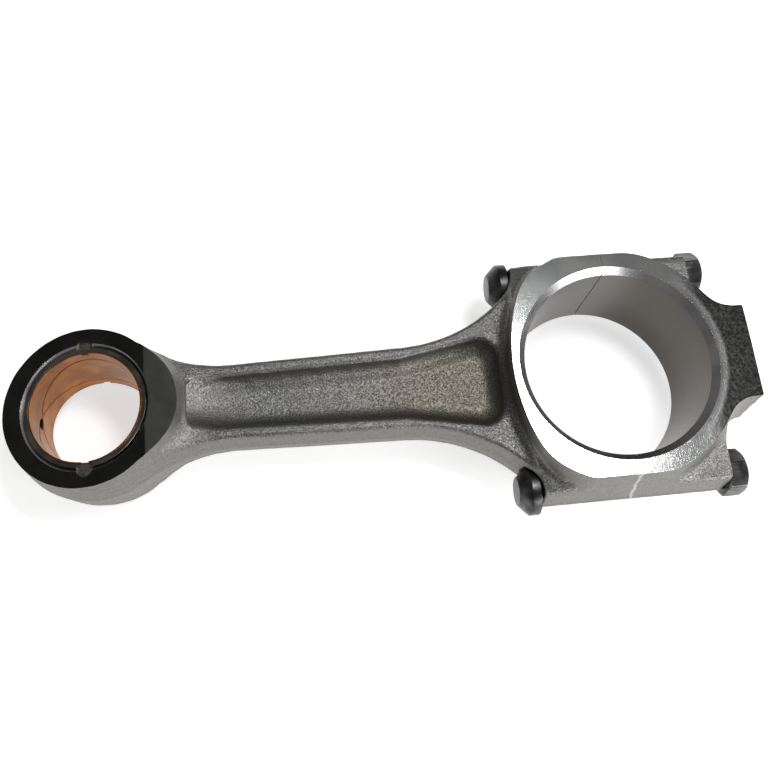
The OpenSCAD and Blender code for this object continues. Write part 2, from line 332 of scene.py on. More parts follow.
def eye_drill(x, y, z):
    """Bore of the eye with a chamfer at each keystone face, the notches and the oil hole."""
    r = np.hypot(x - PIN_X, y)
    depth = -keystone(x, z)
    tilt = math.cos(KEY_ANGLE)
    along = (x - PIN_X) * tilt + (np.abs(z) - PIN_FACE_Z) * math.sin(KEY_ANGLE)
    mouth = (np.hypot(along, y) - EYE_BORE_R - EYE_CHAMFER + depth) * math.sqrt(0.5)
    notch = np.maximum(
        np.hypot(x - PIN_X, np.abs(y) - NOTCH_Y) - NOTCH_R, PIN_FACE_Z - NOTCH_DEPTH - np.abs(z)
    )
    oil = np.maximum(np.hypot(y, z) - OIL_R, x - PIN_X)
    return np.minimum(np.minimum(r - EYE_BORE_R, mouth), np.minimum(notch, oil))


def rod_field(x, y, z):
    """The rod forging, negative inside."""
    height = np.abs(z)
    slab = height - SHANK_HALF
    eye, eye_walls = eye_outline(x, y, z)
    pad = face_pad(x, y, z)
    top = blend_union(slab, np.maximum(eye_walls, height - SMALL_HALF - STOCK), NECK_FILLET)
    top = blend_union(top, np.maximum(pad, height - BIG_HALF - STOCK), PAD_FILLET)
    outline = np.minimum(np.minimum(shank_side(x, y, z), eye), pad)
    edge = np.interp(height, [SHANK_HALF + 2, SHANK_HALF + 5], [2.4, 0.05])
    body = blend_cut(outline, top, edge)
    body = blend_union(body, bolt_boss(x, y, z, HEAD_SEAT_X, 5), BOSS_FILLET)
    body = blend_cut(body, -pocket(x, y, z), POCKET_RIM)
    body = blend_cut(body, side_plane(y, z), SIDE_EDGE)
    body = body + SKIN_DROP + SKIN_WAVE * unevenness(x, y, z)
    body = np.maximum(body, height - BIG_HALF + SKIM)
    near_eye = np.where(x < KEY_BREAK_X + EYE_REACH, height - SMALL_HALF, -FAR)
    body = np.maximum(body, near_eye)
    body = np.maximum(body, np.where(x < KEY_BREAK_X, keystone(x, z), -FAR))
    recess = np.hypot(np.abs(y) - BOLT_Y, z) - HEAD_R - SEAT_CLEARANCE
    recess = np.maximum(recess, x - HEAD_SEAT_X)
    recess = np.maximum(recess, BOLT_Y - HEAD_FLAT - 0.05 - np.abs(y))
    recess = np.maximum(recess, HEAD_SEAT_X - 30 - x)
    cuts = np.minimum(np.minimum(crank_bore(x, y, z), bolt_drill(y, z)), recess)
    cuts = np.minimum(cuts, np.where(x < PIN_X + EYE_REACH, eye_drill(x, y, z), FAR))
    body = np.maximum(body, -cuts)
    return np.maximum(body, x - split_x(y, z) + split_gap(y))


def cap_field(x, y, z):
    """The bearing cap, negative inside."""
    height = np.abs(z)
    share = 1 - height / BIG_HALF
    ring = cone(x, y, z, 0, CAP_FACE_R + WALL_SPREAD, CAP_FACE_R, BIG_HALF)
    lug_y = np.abs(y) - LUG_HALF - BIG_HALF * LUG_TAN * share
    lug_x = x - LUG_END_X - BIG_HALF * LUG_TAN * share / 2
    lug = np.maximum(round_corner(lug_y, lug_x, LUG_EDGE), 20 - x)
    body = blend_cut(blend_union(ring, lug, LUG_FILLET), lug_x, LUG_EDGE)
    body = np.maximum(body, height - BIG_HALF - STOCK)
    body = blend_union(body, bolt_boss(x, y, z, -5, NUT_SEAT_X), BOSS_FILLET)
    body = blend_cut(body, side_plane(y, z), SIDE_EDGE)
    body = body + SKIN_DROP + SKIN_WAVE * unevenness(x, y, z)
    body = np.maximum(body, height - BIG_HALF + SKIM)
    seat = np.maximum(np.hypot(np.abs(y) - BOLT_Y, z) - HEAD_R - SEAT_CLEARANCE, NUT_SEAT_X - x)
    cuts = np.minimum(np.minimum(crank_bore(x, y, z), bolt_drill(y, z)), seat)
    body = np.maximum(body, -cuts)
    return np.maximum(body, split_x(y, z) + split_gap(y) - x)


# ---------------------------------------------------------------- meshing


def slope_of(field, p):
    """Unit gradient of a field at points p."""
    h = 0.01
    g = np.empty_like(p)
    for i in range(3):
        d = np.zeros(3)
        d[i] = h
        g[:, i] = field(*(p + d).T) - field(*(p - d).T)
    return g / np.maximum(np.linalg.norm(g, axis=1, keepdims=True), 1e-9)


def sample(field, low, high, step):
    """Field values on a grid, worked out in full only near the surface."""
    counts = [int(math.ceil((high[i] - low[i]) / step / 4)) * 4 + 1 for i in range(3)]
    axes = [low[i] + step * np.arange(counts[i]) for i in range(3)]
    rough = field(*np.meshgrid(*[a[::4] for a in axes], indexing="ij"))
    nearest = np.ix_(*[(np.arange(n) + 2) // 4 for n in counts])
    values = rough[nearest]
    i, j, k = np.nonzero(np.abs(values) < 8 * step)
    values[i, j, k] = field(axes[0][i], axes[1][j], axes[2][k])
    return values


def crossings(field, values, low, step, axis):
    """Grid edges along one axis that the surface crosses, and the points where it does."""
    ahead = np.zeros(3, int)
    ahead[axis] = 1
    inside = values < 0
    n = inside.shape[axis]
    first = np.take(inside, range(n - 1), axis)
    start = np.argwhere(first != np.take(inside, range(1, n), axis))
    end = start + ahead
    fa, fb = values[tuple(start.T)], values[tuple(end.T)]
    outward = fa < 0
    ta, tb = np.zeros(len(start)), np.ones(len(start))
    base = low + step * start
    for _ in range(5):
        t = np.clip(ta + (tb - ta) * fa / (fa - fb), ta + 0.02 * (tb - ta), tb - 0.02 * (tb - ta))
        f = field(*(base + step * t[:, None] * ahead).T)
        same = (f < 0) == (fa < 0)
        fb = np.where(same, fb * 0.5, f)
        tb = np.where(same, tb, t)
        fa_new = np.where(same, f, fa * 0.5)
        ta = np.where(same, t, ta)
        fa = fa_new
    t = ta + (tb - ta) * fa / (fa - fb)
    return start, base + step * t[:, None] * ahead, outward


def contour(field, low, high, step):
    """Vertices and quads of a field's surface, with its sharp edges kept."""
    low = np.array(low, float)
    values = sample(field, low, high, step)
    shape = values.shape
    edges = [crossings(field, values, low, step, axis) for axis in range(3)]
    ids, spots, quads_from = [], [], []
    for axis, (start, p, outward) in enumerate(edges):
        u, v = np.zeros(3, int), np.zeros(3, int)
        u[(axis + 1) % 3], v[(axis + 2) % 3] = 1, 1
        ring = [start, start - u, start - u - v, start - v]
        ids.append(np.array([np.ravel_multi_index(tuple(c.T), shape) for c in ring]))
        spots.append(p)
        quads_from.append(outward)
    cells, index = np.unique(np.concatenate([a.ravel() for a in ids]), return_inverse=True)
    p = np.concatenate([np.tile(s, (4, 1)) for s in spots])
    n = np.concatenate([np.tile(slope_of(field, s), (4, 1)) for s in spots])

    def add_up(w):
        return np.bincount(index, w, len(cells))

    count = add_up(np.ones(len(index)))
    middle = np.stack([add_up(p[:, i]) for i in range(3)], 1) / count[:, None]
    off = np.sum(n * (p - middle[index]), axis=1)
    a = np.empty((len(cells), 3, 3))
    b = np.empty((len(cells), 3))
    for i in range(3):
        b[:, i] = add_up(n[:, i] * off)
        for j in range(i, 3):
            a[:, i, j] = a[:, j, i] = add_up(n[:, i] * n[:, j])
    a += PULL * count[:, None, None] * np.eye(3)
    verts = middle + np.linalg.solve(a, b[:, :, None])[:, :, 0]
    corner = low + step * np.stack(np.unravel_index(cells, shape), 1)
    verts = np.clip(verts, corner - LOOSE * step, corner + (1 + LOOSE) * step)
    quads, at = [], 0
    for a4, outward in zip(ids, quads_from):
        four = index[at : at + a4.size].reshape(4, -1).T
        at += a4.size
        quads.append(np.where(outward[:, None], four, four[:, ::-1]))
    return verts, np.concatenate(quads)


def new_mesh(name, verts, faces):
    """A mesh in metres from points in millimetres."""
    mesh = bpy.data.meshes.new(name)
    mesh.from_pydata((np.asarray(verts) * MM).tolist(), [], np.asarray(faces).tolist())
    mesh.update()
    return mesh


def place(name, mesh, body, nodes):
    """Puts a mesh in the scene as a piece that rides on a body and stands for CAD nodes."""
    piece = bpy.data.objects.new(name, mesh)
    bpy.context.scene.collection.objects.link(piece)
    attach(piece, body)
    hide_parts(*nodes)
    return piece


def finish_edges(piece, angle, width):
    """Smooth shading with crisp edges, which get a fine bevel."""
    mesh = piece.data
    mesh.shade_smooth()
    if width:
        bevel = piece.modifiers.new("edge", "BEVEL")
        bevel.width = width * MM
        bevel.segments = 2
        bevel.limit_method = "ANGLE"
        bevel.angle_limit = math.radians(angle)
        normals = piece.modifiers.new("normals", "WEIGHTED_NORMAL")
        normals.keep_sharp = True
    mesh.set_sharp_from_angle(angle=math.radians(angle))


# ---------------------------------------------------------------- materials


class Finish:
    """A node material, with short calls for what the finishes here are made of."""

    def __init__(self, name):
        self.material = bpy.data.materials.new(name)
        self.material.use_nodes = True
        self.tree = self.material.node_tree
        self.tree.nodes.clear()
        self.surface = self.node("ShaderNodeBsdfPrincipled")
        self.link(self.surface.outputs[0], self.node("ShaderNodeOutputMaterial").inputs[0])
        self.coords = self.node("ShaderNodeTexCoord")
        self.place = self.coords.outputs["Object"]

    def node(self, kind, **settings):
        made = self.tree.nodes.new(kind)
        for key, value in settings.items():
            setattr(made, key, value)
        return made

    def link(self, source, target):
        if isinstance(source, bpy.types.NodeSocket):
            self.tree.links.new(source, target)
        else:
            target.default_value = source

    def stretched(self, scale, turn=0.0):
        """Object coordinates turned about Z and scaled, for lines that run one way."""
        mapping = self.node("ShaderNodeMapping")
        self.link(self.place, mapping.inputs["Vector"])
        mapping.inputs["Rotation"].default_value = (0, 0, turn)
        mapping.inputs["Scale"].default_value = scale
        return mapping.outputs[0]

    def noise(self, scale, detail=2.0, rough=0.5, where=None):
        made = self.node("ShaderNodeTexNoise")
        self.link(where or self.place, made.inputs["Vector"])
        made.inputs["Scale"].default_value = scale
        made.inputs["Detail"].default_value = detail
        made.inputs["Roughness"].default_value = rough
        return made.outputs["Fac"]

    def cells(self, scale):
        made = self.node("ShaderNodeTexVoronoi")
        self.link(self.place, made.inputs["Vector"])
        made.inputs["Scale"].default_value = scale
        return made.outputs["Distance"]

    def math(self, operation, a, b=0.0):
        made = self.node("ShaderNodeMath", operation=operation)
        for value, socket in zip((a, b), made.inputs):
            self.link(value, socket)
        return made.outputs[0]

    def fade(self, value, low, high, to_low=0.0, to_high=1.0):
        made = self.node("ShaderNodeMapRange", interpolation_type="SMOOTHSTEP")
        for source, socket in zip((value, low, high, to_low, to_high), made.inputs):
            self.link(source, socket)
        return made.outputs[0]

    def blend(self, factor, a, b, blend_type="MIX"):
        made = self.node("ShaderNodeMix", data_type="RGBA", blend_type=blend_type)
        self.link(factor, made.inputs[0])
        for colour, socket in ((a, made.inputs[6]), (b, made.inputs[7])):
            self.link((*colour, 1) if isinstance(colour, tuple) else colour, socket)
        return made.outputs[2]

    def axes(self, source=None):
        made = self.node("ShaderNodeSeparateXYZ")
        self.link(source or self.place, made.inputs[0])
        return made.outputs[0], made.outputs[1], made.outputs[2]

    def radius(self):
        """Distance from the crankpin bore's axis."""
        x, y, _ = self.axes()
        squares = self.math("ADD", self.math("MULTIPLY", x, x), self.math("MULTIPLY", y, y))
        return self.math("SQRT", squares)

    def bump(self, height, strength, distance, under=None):
        made = self.node("ShaderNodeBump")
        made.inputs["Strength"].default_value = strength
        made.inputs["Distance"].default_value = distance
        self.link(height, made.inputs["Height"])
        if under is not None:
            self.link(under, made.inputs["Normal"])
        return made.outputs[0]

    def set(self, colour, roughness, normal=None, metallic=1.0):
        colour = (*colour, 1) if isinstance(colour, tuple) else colour
        self.link(colour, self.surface.inputs["Base Color"])
        self.link(roughness, self.surface.inputs["Roughness"])
        self.link(metallic, self.surface.inputs["Metallic"])
        if normal is not None:
            self.link(normal, self.surface.inputs["Normal"])
        return self.material


def forged_skin():
    """Shot-blasted forging: speckled on the faces, smoother on the drafted side walls."""
    f = Finish("forged_skin")
    _, _, facing = f.axes(f.coords.outputs["Normal"])
    flat = f.fade(f.math("ABSOLUTE", facing), 0.25, 0.6)
    grain = f.noise(1250, 3, 0.62)
    pits = f.cells(900)
    cloud = f.noise(45, 3, 0.55)
    dull = f.blend(f.fade(grain, 0.3, 0.72), (0.08, 0.08, 0.078), (0.32, 0.318, 0.31))
    plain = f.blend(f.fade(grain, 0.2, 0.8), (0.15, 0.146, 0.137), (0.23, 0.226, 0.213))
    colour = f.blend(flat, plain, dull)
    colour = f.blend(f.fade(cloud, 0.35, 0.7, 0.0, 0.35), colour, (0.19, 0.185, 0.18))
    x, y, z = f.axes()
    along = f.math("MULTIPLY", f.fade(x, -0.16, -0.09), f.fade(x, -0.045, -0.056))
    within = f.fade(f.math("ABSOLUTE", y), 0.026, 0.014)
    deep = f.fade(f.math("ABSOLUTE", z), 0.014, 0.007)
    warm = f.math("MULTIPLY", f.math("MULTIPLY", along, within), deep)
    tinted = f.blend(1.0, colour, (1.0, 0.86, 0.66), "MULTIPLY")
    colour = f.blend(f.math("MULTIPLY", warm, 0.55), colour, tinted)
    # Painted highlight, partly chipped edges: a light grey line along the crack on the outer walls
    crack = f.tree.nodes.new("ShaderNodeAttribute")
    crack.attribute_name = "crack_edge"
    colour = f.blend(crack.outputs["Fac"], colour, (0.6, 0.6, 0.59))
    rough = f.fade(grain, 0.3, 0.75, 0.56, 0.36)
    rough = f.math("ADD", rough, f.math("MULTIPLY", f.math("SUBTRACT", 1.0, flat), 0.06))
    height = f.math("SUBTRACT", grain, f.math("MULTIPLY", pits, 0.35))
    height = f.math("MULTIPLY", height, f.fade(flat, 0, 1, 0.25, 1.0))
    normal = f.bump(height, 0.55, 0.0005)
    return f.set(colour, rough, normal)


def milled_face():
    """Ground face of the big end, bright near the bore, with painted shade that makes it nearly
    black towards the lug, where it is also rougher and grainier.
    """
    f = Finish("milled_face")
    x, y, _ = f.axes()
    marks = f.noise(1.0, 2, 0.6, f.stretched((2600, 160, 160), 0.5))
    cross = f.noise(1.0, 2, 0.6, f.stretched((190, 2200, 190), 0.35))
    mottle = f.noise(60, 2, 0.5)
    bright = f.blend(f.fade(mottle, 0.35, 0.7), (0.38, 0.395, 0.39), (0.44, 0.45, 0.44))
    grain = f.noise(700, 3, 0.6)
    # Painted shade: the ground face is coloured nearly black towards the lug, by the mask just
    # below, which also roughens it there
    dark = f.blend(f.fade(grain, 0.35, 0.75), (0.02, 0.02, 0.0195), (0.075, 0.075, 0.073))
    lug = f.math("MULTIPLY", f.fade(f.radius(), 0.052, 0.057), f.fade(x, 0.028, 0.05))
    colour = f.blend(lug, bright, dark)
    shine = f.math("ADD", 0.15, f.math("MULTIPLY", mottle, 0.04))
    rough = f.math("ADD", shine, f.math("MULTIPLY", lug, 0.16))
    height = f.math("ADD", f.math("MULTIPLY", marks, 0.5), f.math("MULTIPLY", cross, 0.5))
    height = f.math("ADD", height, f.math("MULTIPLY", f.math("MULTIPLY", grain, lug), 3.0))
    return f.set(colour, rough, f.bump(height, 0.22, 0.0002))


def bored_wall():
    """Honed wall of the crankpin bore, with painted shade that darkens it away from the split."""
    f = Finish("bored_wall")
    x, _, _ = f.axes()
    hone = f.noise(1.0, 3, 0.6, f.stretched((40, 40, 2600)))
    cloud = f.noise(28, 2, 0.5)
    # Painted light and shade: the wall is coloured lighter near the split and darker away from it
    painted_light_near_split = f.fade(f.math("ABSOLUTE", x), 0.004, 0.026, 1.0, 0.0)
    colour = f.blend(painted_light_near_split, (0.085, 0.076, 0.067), (0.17, 0.162, 0.158))
    colour = f.blend(f.fade(cloud, 0.3, 0.7, 0, 0.3), colour, (0.12, 0.108, 0.096))
    rough = f.math("ADD", 0.24, f.math("MULTIPLY", hone, 0.12))
    return f.set(colour, rough, f.bump(hone, 0.15, 0.0001))


def chamfer_cut():
    """Turned chamfers at the mouths of both bores."""
    f = Finish("chamfer_cut")
    marks = f.noise(1.0, 2, 0.6, f.stretched((60, 60, 3000)))
    cloud = f.noise(60, 2, 0.5)
    colour = f.blend(f.fade(cloud, 0.3, 0.7), (0.36, 0.35, 0.36), (0.52, 0.5, 0.52))
    rough = f.math("ADD", 0.2, f.math("MULTIPLY", marks, 0.15))
    return f.set(colour, rough, f.bump(marks, 0.15, 0.0001))


def keystone_face():
    """Fine-ground keystone face, dark and glossy."""
    f = Finish("keystone_face")
    marks = f.noise(1.0, 2, 0.5, f.stretched((90, 2400, 90)))
    cloud = f.noise(70, 2, 0.5)
    colour = f.blend(f.fade(cloud, 0.3, 0.7), (0.035, 0.035, 0.034), (0.05, 0.05, 0.048))
    rough = f.math("ADD", 0.16, f.math("MULTIPLY", marks, 0.06))
    return f.set(colour, rough, f.bump(marks, 0.08, 0.0001))


def eye_pad():
    """Parallel face of the small end beside the keystone face."""
    f = Finish("eye_pad")
    marks = f.noise(1.0, 2, 0.5, f.stretched((110, 2400, 110)))
    cloud = f.noise(90, 3, 0.5)
    colour = f.blend(f.fade(cloud, 0.3, 0.7), (0.09, 0.09, 0.086), (0.12, 0.12, 0.115))
    rough = f.math("ADD", 0.3, f.math("MULTIPLY", marks, 0.1))
    return f.set(colour, rough, f.bump(marks, 0.2, 0.0002))


def drilled():
    """Plain machined steel of holes, seats and notches."""
    f = Finish("drilled")
    marks = f.noise(900, 2, 0.5)
    colour = f.blend(f.fade(marks, 0.3, 0.7), (0.12, 0.105, 0.085), (0.24, 0.22, 0.19))
    return f.set(colour, 0.34, f.bump(marks, 0.12, 0.0002))


def fracture():
    """Grainy fracture surfaces between rod and cap."""
    f = Finish("fracture")
    grain = f.noise(1500, 4, 0.7)
    colour = f.blend(f.fade(grain, 0.3, 0.7), (0.3, 0.3, 0.3), (0.7, 0.7, 0.7))
    return f.set(colour, 0.42, f.bump(grain, 0.8, 0.0005))


def bush_steel():
    """Turned steel backing of the bush."""
    f = Finish("bush_steel")
    marks = f.noise(1.0, 2, 0.6, f.stretched((50, 50, 2500)))
    cloud = f.noise(120, 2, 0.5)
    colour = f.blend(f.fade(cloud, 0.3, 0.7), (0.1, 0.098, 0.09), (0.19, 0.185, 0.175))
    rough = f.math("ADD", 0.25, f.math("MULTIPLY", marks, 0.12))
    return f.set(colour, rough, f.bump(marks, 0.15, 0.0001))


def bronze():
    """Fine-bored bronze lining, a little stained."""
    f = Finish("bronze")
    hone = f.noise(1.0, 3, 0.6, f.stretched((60, 60, 2600)))
    stain = f.noise(70, 2, 0.5)
    colour = f.blend(f.fade(stain, 0.32, 0.72), (0.24, 0.078, 0.012), (0.4, 0.155, 0.03))
    colour = f.blend(f.fade(f.noise(420, 3, 0.6), 0.66, 0.8, 0, 0.3), colour, (0.28, 0.13, 0.06))
    rough = f.math("ADD", 0.3, f.math("MULTIPLY", hone, 0.14))
    return f.set(colour, rough, f.bump(hone, 0.15, 0.0001))


def black_oxide():
    """Black oxide of the bolts and nuts, rubbed thin in places."""
    f = Finish("black_oxide")
    grain = f.noise(900, 3, 0.6)
    cloud = f.noise(150, 3, 0.55)
    colour = f.blend(f.fade(cloud, 0.35, 0.75), (0.04, 0.04, 0.041), (0.12, 0.12, 0.118))
    rough = f.math("ADD", 0.26, f.math("MULTIPLY", grain, 0.16))
    return f.set(colour, rough, f.bump(grain, 0.18, 0.0002))


FORGING_FINISHES = [
    forged_skin(),
    milled_face(),
    bored_wall(),
    chamfer_cut(),
    keystone_face(),
    eye_pad(),
    drilled(),
    fracture(),
]
SKIN, MILLED, BORED, CHAMFER, KEYSTONE, PAD, DRILLED, FRACTURE = range(8)
BRONZE = bronze()
BUSH_STEEL = bush_steel()
BLACK = black_oxide()


def give_zones(mesh):
    """Gives each face of the forging or the cap the finish of the surface it lies on."""
    count = len(mesh.polygons)
    c = np.empty(count * 3)
    n = np.empty(count * 3)
    mesh.polygons.foreach_get("center", c)
    mesh.polygons.foreach_get("normal", n)
    c, n = c.reshape(-1, 3) / MM, n.reshape(-1, 3)
    x, y, z = c.T
    height, up = np.abs(z), np.abs(n[:, 2])
    r = np.hypot(x, y)
    eye_r = np.hypot(x - PIN_X, y)
    bolt_r = np.hypot(np.abs(y) - BOLT_Y, z)
    zone = np.full(count, SKIN)
    zone[(height > BIG_HALF - 0.1) & (up > 0.97)] = MILLED
    zone[(height > SMALL_HALF - 0.1) & (up > 0.97) & (x < KEY_BREAK_X + 30)] = PAD
    zone[(np.abs(keystone(x, z)) < 0.15) & (x < KEY_BREAK_X) & (up > 0.9)] = KEYSTONE
    zone[(eye_r < EYE_BORE_R + EYE_CHAMFER + 0.8) & (up < 0.9) & (up > 0.4)] = CHAMFER
    zone[(eye_r < EYE_BORE_R + 0.2) & (up < 0.3)] = DRILLED
    zone[(r < CRANK_R + 0.3) & (up < 0.4)] = BORED
    zone[(r < CRANK_R + CRANK_CHAMFER) & (up > 0.4) & (up < 0.93)] = CHAMFER
    zone[(bolt_r < HOLE_R + 0.3) & (np.abs(n[:, 0]) < 0.4)] = DRILLED
    zone[(np.abs(x - HEAD_SEAT_X) < 0.1) & (np.abs(n[:, 0]) > 0.95) & (bolt_r < 15)] = DRILLED
    zone[(np.abs(x - NUT_SEAT_X) < 0.1) & (np.abs(n[:, 0]) > 0.95) & (bolt_r < 15)] = DRILLED
    notch_r = np.hypot(x - PIN_X, np.abs(y) - NOTCH_Y)
    zone[(notch_r < NOTCH_R + 0.1) & (height < PIN_FACE_Z - 0.2)] = DRILLED
    zone[(np.abs(x - split_x(y, z)) < SPLIT_GAP + 0.2) & (np.abs(n[:, 0]) > 0.6)] = FRACTURE
    mesh.polygons.foreach_set("material_index", zone.astype(np.int32))
    for finish in FORGING_FINISHES:
        mesh.materials.append(finish)
    spots = np.empty(len(mesh.vertices) * 3)
    mesh.vertices.foreach_get("co", spots)
    x, y, z = spots.reshape(-1, 3).T / MM
    # Painted highlight, partly chipped edges: strongest at the crack on the outer walls, gone 0.9
    # mm from it
    chipped_and_highlight = np.clip(0.9 - np.abs(x - split_x(y, z)) / 0.9, 0, 1) * (np.abs(y) > CRANK_R + 10)
    edge = mesh.attributes.new("crack_edge", "FLOAT", "POINT")
    edge.data.foreach_set("value", chipped_and_highlight.astype(np.float32))


# ---------------------------------------------------------------- forging and cap

MARGIN = 2.35 * STEP

for name, field, low, high, body in (
    ("rod_forging_skin", rod_field, rod_low, rod_high, "rod"),
    ("bearing_cap_skin", cap_field, cap_low, cap_high, "cap"),
):
    grown = MARGIN + (4 if body == "rod" else 0)
    verts, faces = contour(field, low - MARGIN, high + grown, STEP)
    mesh = new_mesh(name, verts, faces)
    give_zones(mesh)
    node = "rod_forging" if body == "rod" else "bearing_cap"
    piece = place(name, mesh, body, [node])
    finish_edges(piece, 32, 0.22)


# ---------------------------------------------------------------- turned parts


def rings_to_mesh(name, rings, material, close=False):
    """A mesh through rings of points, its ends left open or joined to each other."""
    rings = np.asarray(rings, float)
    count, around = rings.shape[:2]
    index = np.arange(count * around).reshape(count, around)
    if close:
        index = np.vstack([index, index[:1]])
    a, b = index[:-1], index[1:]
    quads = np.stack([a, np.roll(a, -1, 1), np.roll(b, -1, 1), b], -1).reshape(-1, 4)
    mesh = new_mesh(name, rings.reshape(-1, 3), quads)
    mesh.materials.append(material)
    return mesh


def fill_ends(mesh):
    """Closes the open ends of a turned mesh and turns its faces outward."""
    work = bmesh.new()
    work.from_mesh(mesh)
    rim = [e for e in work.edges if e.is_boundary]
    if rim:
        bmesh.ops.holes_fill(work, edges=rim, sides=0)
    bmesh.ops.recalc_face_normals(work, faces=work.faces)
    work.to_mesh(mesh)
    work.free()


AROUND = 144
TURN = np.linspace(0, 2 * np.pi, AROUND, endpoint=False)


def rounded(points, radius, steps=3):
    """A profile with its inner corners rounded off."""
    points = [np.array(p, float) for p in points]
    made = [points[0]]
    for before, at, after in zip(points, points[1:], points[2:]):
        r = min(radius, np.linalg.norm(at - before) / 2.2, np.linalg.norm(after - at) / 2.2)
        p = at + (before - at) / np.linalg.norm(before - at) * r
        q = at + (after - at) / np.linalg.norm(after - at) * r
        for t in np.linspace(0, 1, steps + 1):
            made.append((1 - t) ** 2 * p + 2 * t * (1 - t) * at + t**2 * q)
    made.append(points[-1])
    return np.array(made)


THREAD_PITCH = 1.5
THREAD_X = 39
SHANK_END_X = 36


def thread(x, depth):
    """How far a thread's flank lies below its crest at a place along X, all the way round."""
    phase = (x / THREAD_PITCH - TURN / (2 * np.pi)) % 1
    return depth * np.clip(2.4 * np.abs(phase - 0.5) - 0.12, 0, 1)


def bolt_mesh(name, side):
    """Through-bolt: coned round head with a locating flat, plain shank and threaded end."""
    end_x, head_x = bolt_high[0], bolt_low[0]
    cone_x = HEAD_SEAT_X - HEAD_BAND
    tip_r = HEAD_R - (cone_x - head_x)
    profile = rounded(
        [
            (head_x, 0.01),
            (head_x, tip_r),
            (cone_x, HEAD_R),
            (HEAD_SEAT_X - 0.8, HEAD_R),
            (HEAD_SEAT_X - 0.8, HEAD_R - 1.6),
            (HEAD_SEAT_X, HEAD_R - 1.6),
            (HEAD_SEAT_X, BOLT_R - 0.1),
            (SHANK_END_X, BOLT_R - 0.1),
            (SHANK_END_X + 0.5, BOLT_R - 0.5),
            (THREAD_X, BOLT_R - 0.5),
        ],
        0.5,
    )
    rings = []
    for x, r in profile:
        rings.append(ring_at(x, np.full(AROUND, r), side))
    for x in np.arange(THREAD_X + 0.2, end_x - 1.6, THREAD_PITCH / 8):
        rings.append(ring_at(x, BOLT_R - 0.08 - thread(x, 0.85), side))
    for x, r in ((end_x - 1.2, BOLT_R - 1), (end_x, BOLT_R - 1.8), (end_x, 0.01)):
        rings.append(ring_at(x, np.full(AROUND, r), side))
    mesh = rings_to_mesh(name, rings, BLACK)
    fill_ends(mesh)
    return mesh


def ring_at(x, r, side):
    """A ring of points about a bolt's axis, kept behind the head's locating flat."""
    y = r * np.cos(TURN)
    y = np.maximum(y, -HEAD_FLAT)
    return np.stack([np.full(AROUND, x), side * (BOLT_Y + y), r * np.sin(TURN)], 1)


def nut_mesh(name, side, turn):
    """Hexagon nut with a coned outer end, a washer face and a threaded hole."""
    across = NUT_FLATS / 2
    sector = (TURN - turn) % (np.pi / 3) - np.pi / 6
    hexagon = np.minimum(across / np.cos(sector), across / math.cos(math.pi / 6) - 0.25)
    low, high = NUT_SEAT_X, NUT_END_X

    def ring(x, r):
        r = np.broadcast_to(r, AROUND)
        x = np.broadcast_to(x, AROUND)
        return np.stack([x, side * (BOLT_Y + 0 * x) + r * np.cos(TURN), r * np.sin(TURN)], 1)

    face_r = across - 0.7
    fall = math.tan(math.radians(30))
    rings = [ring(low + 0.5, HOLE_R + 0.9), ring(low, HOLE_R + 1.4), ring(low, face_r)]
    rings.append(ring(low + 0.35, face_r + 0.1))
    rings.append(ring(low + 0.35, np.minimum(hexagon, across + 0.3)))
    rings.append(ring(low + 0.35 + (hexagon - across) * 0.45, hexagon))
    rings.append(ring(high - 0.5 - (hexagon - face_r) * fall * 1.3, hexagon))
    rings.append(ring(high - 0.28 - (hexagon - face_r) * fall * 1.2, hexagon - 0.25))
    for share in (0.75, 0.5, 0.25):
        r = face_r - 0.8 + (hexagon - 0.25 - face_r + 0.8) * share
        rings.append(ring(high - 0.1 - (r - face_r + 0.8) * fall, r))
    rings.append(ring(high, face_r - 0.9))
    rings.append(ring(high, HOLE_R + 1.3))
    for x in np.arange(high - 0.9, low + 0.9, -THREAD_PITCH / 8):
        rings.append(ring(x, HOLE_R + 0.03 + thread(x, 0.75)))
    mesh = rings_to_mesh(name, rings, BLACK, close=True)
    fill_ends(mesh)
    return mesh


NUT_TURN = math.radians(18)

for label, side in (("upper", 1), ("lower", -1)):
    name = f"bolt_{label}_detail"
    piece = place(name, bolt_mesh(name, side), f"{label}_bolt", [f"bolt_{label}"])
    finish_edges(piece, 35, 0)
    name = f"nut_{label}_detail"
    mesh = nut_mesh(name, side, NUT_TURN)
    piece = place(name, mesh, f"{label}_nut", [f"nut_{label}"])
    finish_edges(piece, 30, 0)


# ---------------------------------------------------------------- bush

BUSH_AROUND = 480
BUSH_TURN = np.linspace(0, 2 * np.pi, BUSH_AROUND, endpoint=False)


def end_height(x):
    """Height of the bush's end face under the keystone slope."""
    slope = np.maximum(KEY_BREAK_X - x, 0) * math.tan(KEY_ANGLE)
    return SMALL_HALF - BUSH_RECESS - slope


def groove_depth(angle, z):
    """Depth of the oil grooves that loop over the lining in a figure of eight."""
    reach = end_height(PIN_X) - 8
    depth = 0
    for flip in (1, -1):
        line = flip * reach * np.sin(angle + 0.12)
        lean = reach * np.cos(angle + 0.12) / PIN_R
        gap = np.abs(z - line) / np.sqrt(1 + lean**2)
        depth = np.maximum(depth, 0.3 * np.clip(1.15 - gap / 0.9, 0, 1))
    return depth


